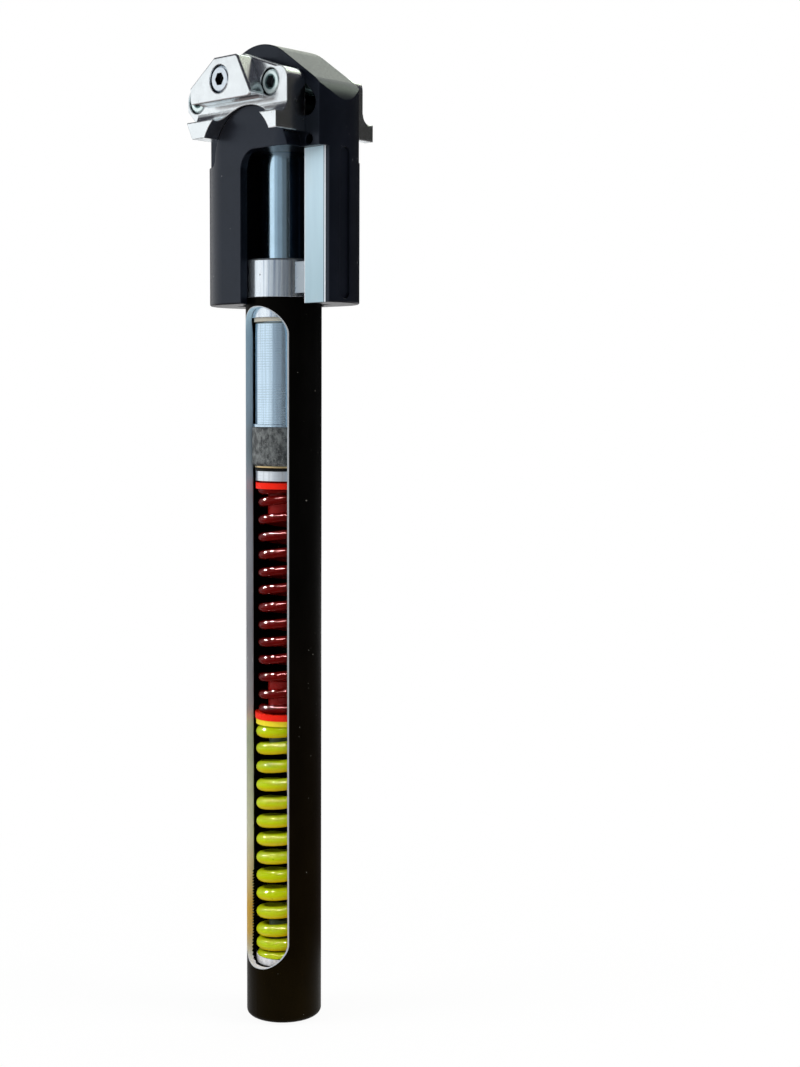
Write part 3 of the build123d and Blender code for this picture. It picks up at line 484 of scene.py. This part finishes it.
def dress_all():
    """Every CAD node keeps its shape and gets its finish."""
    seat_tube_finish()
    head_finish()
    bush_finish()
    nut_finish()
    clamp_finish()
    turned_metal(
        "turned_sleeve", (0.62, 0.80, 0.95), 0.18, pitch=0.0009, relief=0.000012, groove_shade=0.78
    ).dress("spacer_sleeve")
    metal("polished_shaft", (0.56, 0.78, 0.95), 0.15, 420.0, (4, 4, 0.3)).dress("shaft")
    turned_metal(
        "bright_piston", (0.84, 0.90, 0.96), 0.3, pitch=0.0012, relief=0.00001, groove_shade=0.9
    ).dress("piston_ring")
    turned_metal(
        "bright_seat", (0.95, 0.95, 0.97), 0.3, pitch=0.0015, relief=0.00001, groove_shade=0.95,
        metallic=0.3,
    ).dress("low_spring_seat")
    bolt_finish("plate_bolt", (0.76, 0.85, 0.93), JAW_BOLTS, JAW_BOLT_FACE).dress(
        "jaw_bolt_left", "jaw_bolt_right"
    )
    bolt_finish(
        "tilt_bolt", (0.76, 0.90, 0.90), TILT_BOLTS, TILT_BOLT_FACE, 0.6, TILT_BOLT_SHADE_DISC
    ).dress("front_tilt_bolt", "rear_tilt_bolt", "tilt_nuts", "guide_screw", "shoe_screws")
    metal("shoe_steel", (0.42, 0.48, 0.53), 0.28, 300.0).dress("guide_shoes")
    metal("brass", (0.75, 0.58, 0.30), 0.3, 600.0).dress("brass_shim")
    coating("black_rubber", (0.008, 0.008, 0.008), (0.005, 0.005, 0.005), 0.45, 0.15).dress(
        "shaft_seal", "shaft_wiper", "preload_plug"
    )
    coating("nylon_washer", (0.55, 0.52, 0.44), (0.42, 0.40, 0.34), 0.45, 0.2).dress(
        "topout_washer"
    )
    coating(
        "red_seat", (0.95, 0.020, 0.005), (0.82, 0.015, 0.004), 0.3, 0.12,
        peg_shade=(0.30, 0.008, 0.006),
    ).dress("upper_spring_guide", "red_spring_seat")
    coating("yellow_seat", (0.90, 0.74, 0.03), (0.78, 0.62, 0.02), 0.32, 0.12).dress(
        "yellow_spring_seat"
    )
    coating("grey_green_peg", (0.085, 0.125, 0.060), (0.055, 0.080, 0.038), 0.4, 0.15).dress(
        "seat_dowel", "low_spring_peg"
    )
    coating(
        "red_coating", (0.12, 0.0020, 0.0010), (0.07, 0.001, 0.001), 0.04, 0.2,
        tint=(1.0, 0.4, 0.4),
    ).dress("upper_spring")
    coating(
        "yellow_coating", (0.49, 0.60, 0.003), (0.41, 0.50, 0.002), 0.04, 0.08,
        tint=(1.0, 1.0, 0.7), underside_light=(0.60, 0.36, 0.003),
    ).dress("lower_spring")


def press_spring(name):
    """Gives a spring its own copy of its mesh."""
    spring = nodes[name]
    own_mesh(spring)


def seen_rays(tree):
    """1 for rays that the camera, a reflection or a clear material sends."""
    path = tree.nodes.new("ShaderNodeLightPath")
    total = path.outputs["Is Camera Ray"]
    for name in ("Is Glossy Ray", "Is Transmission Ray"):
        node = tree.nodes.new("ShaderNodeMath")
        node.operation = "MAXIMUM"
        tree.links.new(total, node.inputs[0])
        tree.links.new(path.outputs[name], node.inputs[1])
        total = node.outputs[0]
    return total


def mix_shaders(tree, share, first, second, output):
    """Links two shaders to an output, the second by its share."""
    mixed = tree.nodes.new("ShaderNodeMixShader")
    tree.links.new(share, mixed.inputs["Fac"])
    tree.links.new(first, mixed.inputs[1])
    tree.links.new(second, mixed.inputs[2])
    tree.links.new(mixed.outputs["Shader"], output.inputs["Surface"])


def add_floor():
    """Plain near-white floor that fades into the surround and keeps a faint shadow of the post."""
    finish = Finish("floor_white", specular=0.0)
    tree = finish.tree
    finish.colour((0.93, 0.93, 0.93, 1.0))
    finish.roughness(0.9)
    plain = tree.nodes.new("ShaderNodeEmission")
    plain.inputs["Color"].default_value = (1.0, 1.0, 1.0, 1.0)
    x, y, _ = finish.axes()
    fade = finish.span(finish.reach(x, y), 0.93, 1.0, *FLOOR_FADE)
    share = finish.calc("MULTIPLY", seen_rays(tree), fade)
    output = tree.nodes["Material Output"]
    mix_shaders(tree, share, finish.shader.outputs["BSDF"], plain.outputs["Emission"], output)
    angles = [2 * math.pi * k / FLOOR_SIDES for k in range(FLOOR_SIDES)]
    corners = [(FLOOR_RADIUS * math.cos(a), FLOOR_RADIUS * math.sin(a), 0) for a in angles]
    mesh = bpy.data.meshes.new("floor")
    mesh.from_pydata(corners, [], [tuple(range(FLOOR_SIDES))])
    floor = bpy.data.objects.new("floor", mesh)
    bpy.context.scene.collection.objects.link(floor)
    floor.location = (0, 0, -FLOOR_DROP)
    mesh.materials.append(finish.material)


def background(tree, colour, strength):
    """One plain surround."""
    node = tree.nodes.new("ShaderNodeBackground")
    node.inputs["Color"].default_value = (*colour, 1.0)
    node.inputs["Strength"].default_value = strength
    return node.outputs["Background"]


def add_world():
    """Plain white surround for the camera and reflections; its light on the part is softer."""
    world = bpy.data.worlds.new("world")
    bpy.context.scene.world = world
    world.use_nodes = True
    tree = world.node_tree
    tree.nodes.clear()
    soft = background(tree, (0.95, 0.97, 1.0), 0.5)
    white = background(tree, (1.0, 1.0, 1.0), 1.0)
    mix_shaders(tree, seen_rays(tree), soft, white, tree.nodes.new("ShaderNodeOutputWorld"))


def direction(turn, rise):
    """Unit vector at an angle to the right of the camera's side, seen from the post, and a rise."""
    turn, rise = math.radians(turn), math.radians(rise)
    level = TO_CAMERA * math.cos(turn) + TO_RIGHT * math.sin(turn)
    return level * math.cos(rise) + Vector((0, 0, math.sin(rise)))


def add_band(name, start, end, inner, outer, colour):
    """A studio card swept round the post between two (radius, height) edges.

    Only reflections see it, as they see the dark and grey cards of a product shot.
    """
    points = []
    for k in range(BAND_STEPS + 1):
        level = direction(start + (end - start) * k / BAND_STEPS, 0.0)
        for radius, height in (inner, outer):
            points.append((level.x * radius, level.y * radius, height))
    faces = [(2 * k, 2 * k + 2, 2 * k + 3, 2 * k + 1) for k in range(BAND_STEPS)]
    mesh = bpy.data.meshes.new(name)
    mesh.from_pydata(points, [], faces)
    material = bpy.data.materials.new(name)
    material.use_nodes = True
    tree = material.node_tree
    tree.nodes.clear()
    glow = tree.nodes.new("ShaderNodeEmission")
    glow.inputs["Color"].default_value = (*colour, 1.0)
    output = tree.nodes.new("ShaderNodeOutputMaterial")
    tree.links.new(glow.outputs["Emission"], output.inputs["Surface"])
    mesh.materials.append(material)
    card = bpy.data.objects.new(name, mesh)
    bpy.context.scene.collection.objects.link(card)
    card.visible_camera = False
    card.visible_diffuse = False
    card.visible_shadow = False
    card.visible_transmission = False


def add_card(name, start, end, top, colour):
    """An upright card round the post."""
    add_band(name, start, end, (CARD_RADIUS, CARD_FOOT), (CARD_RADIUS, top), colour)


def add_lamp(name, turn, rise, distance, size, power, colour=(1, 1, 1), glossy=True, only=None):
    """A soft box at an angle round the post, aimed at it.

    One that is for a collection only gives its objects their highlights.
    """
    data = bpy.data.lights.new(name, "AREA")
    data.shape = "RECTANGLE"
    data.size, data.size_y = size
    data.energy = power
    data.color = colour
    lamp = bpy.data.objects.new(name, data)
    bpy.context.scene.collection.objects.link(lamp)
    place = LAMP_AIM + direction(turn, rise) * distance
    facing = (LAMP_AIM - place).to_track_quat("-Z", "Y").to_matrix().to_4x4()
    lamp.matrix_world = Matrix.Translation(place) @ facing
    lamp.visible_glossy = glossy
    lamp.visible_diffuse = only is None
    if only is not None:
        lamp.light_linking.receiver_collection = only
    lamp.visible_camera = False


def add_lights():
    """Soft boxes at both sides and weak ones behind."""
    add_lamp("left_box", -78, 30, BOX_DISTANCE, (0.5, 1.1), 7.0, glossy=False)
    add_lamp("right_box", 72, 22, BOX_DISTANCE, (0.5, 1.0), 9.0, (1.0, 0.94, 0.88), glossy=False)
    add_lamp("back_box", 166, 37, BACK_DISTANCE, (0.6, 0.5), 0.75, (0.88, 1.0, 0.70))
    add_lamp("shoulder_box", 132, 45, BACK_DISTANCE, (0.3, 0.3), 0.9, (0.90, 1.0, 0.75))


def add_spring_highlights():
    """Small bright lamps for the springs' coating alone."""
    springs = bpy.data.collections.new("springs")
    for name in ("upper_spring", "lower_spring"):
        springs.objects.link(nodes[name])
    add_lamp("left_spot", -100, 50, SPOT_DISTANCE, (0.14, 0.10), 44.0, only=springs)
    add_lamp("low_spot", -112, 25, SPOT_DISTANCE, (0.13, 0.10), 40.0, only=springs)
    add_lamp("high_strip", -12, 50, SPOT_DISTANCE, (0.9, 0.06), 90.0, only=springs)


def add_cards():
    """Dark and grey cards that give the bare metal its tones, from white to almost black."""
    add_card("dark_card", 14, 128, 1.7, (0.036, 0.034, 0.032))
    add_card("side_card", 128, 176, 0.75, (0.020, 0.020, 0.020))
    add_card("far_left_card", 184, 206, 1.2, (0.06, 0.06, 0.07))
    add_card("grey_card", -8, 14, 1.6, (0.16, 0.165, 0.17))
    add_card("middle_card", -32, -8, 1.6, (0.31, 0.33, 0.35))
    add_card("half_card", -48, -32, 1.6, (0.46, 0.49, 0.52))
    add_band("roof_card", -160, 140, (1.45, 0.75), (0.02, 1.7), (0.045, 0.042, 0.050))
    add_band("cream_card", 98, 118, (0.7, 0.88), (0.7, 1.18), (0.60, 0.57, 0.50))
    add_band("table_card", -180, 180, (0.07, 0.002), (0.75, 0.002), (0.20, 0.165, 0.16))


bpy.context.scene.view_settings.view_transform = "Standard"
add_camera()
dress_all()
press_spring("upper_spring")
press_spring("lower_spring")
add_world()
add_floor()
add_lights()
add_spring_highlights()
add_cards()
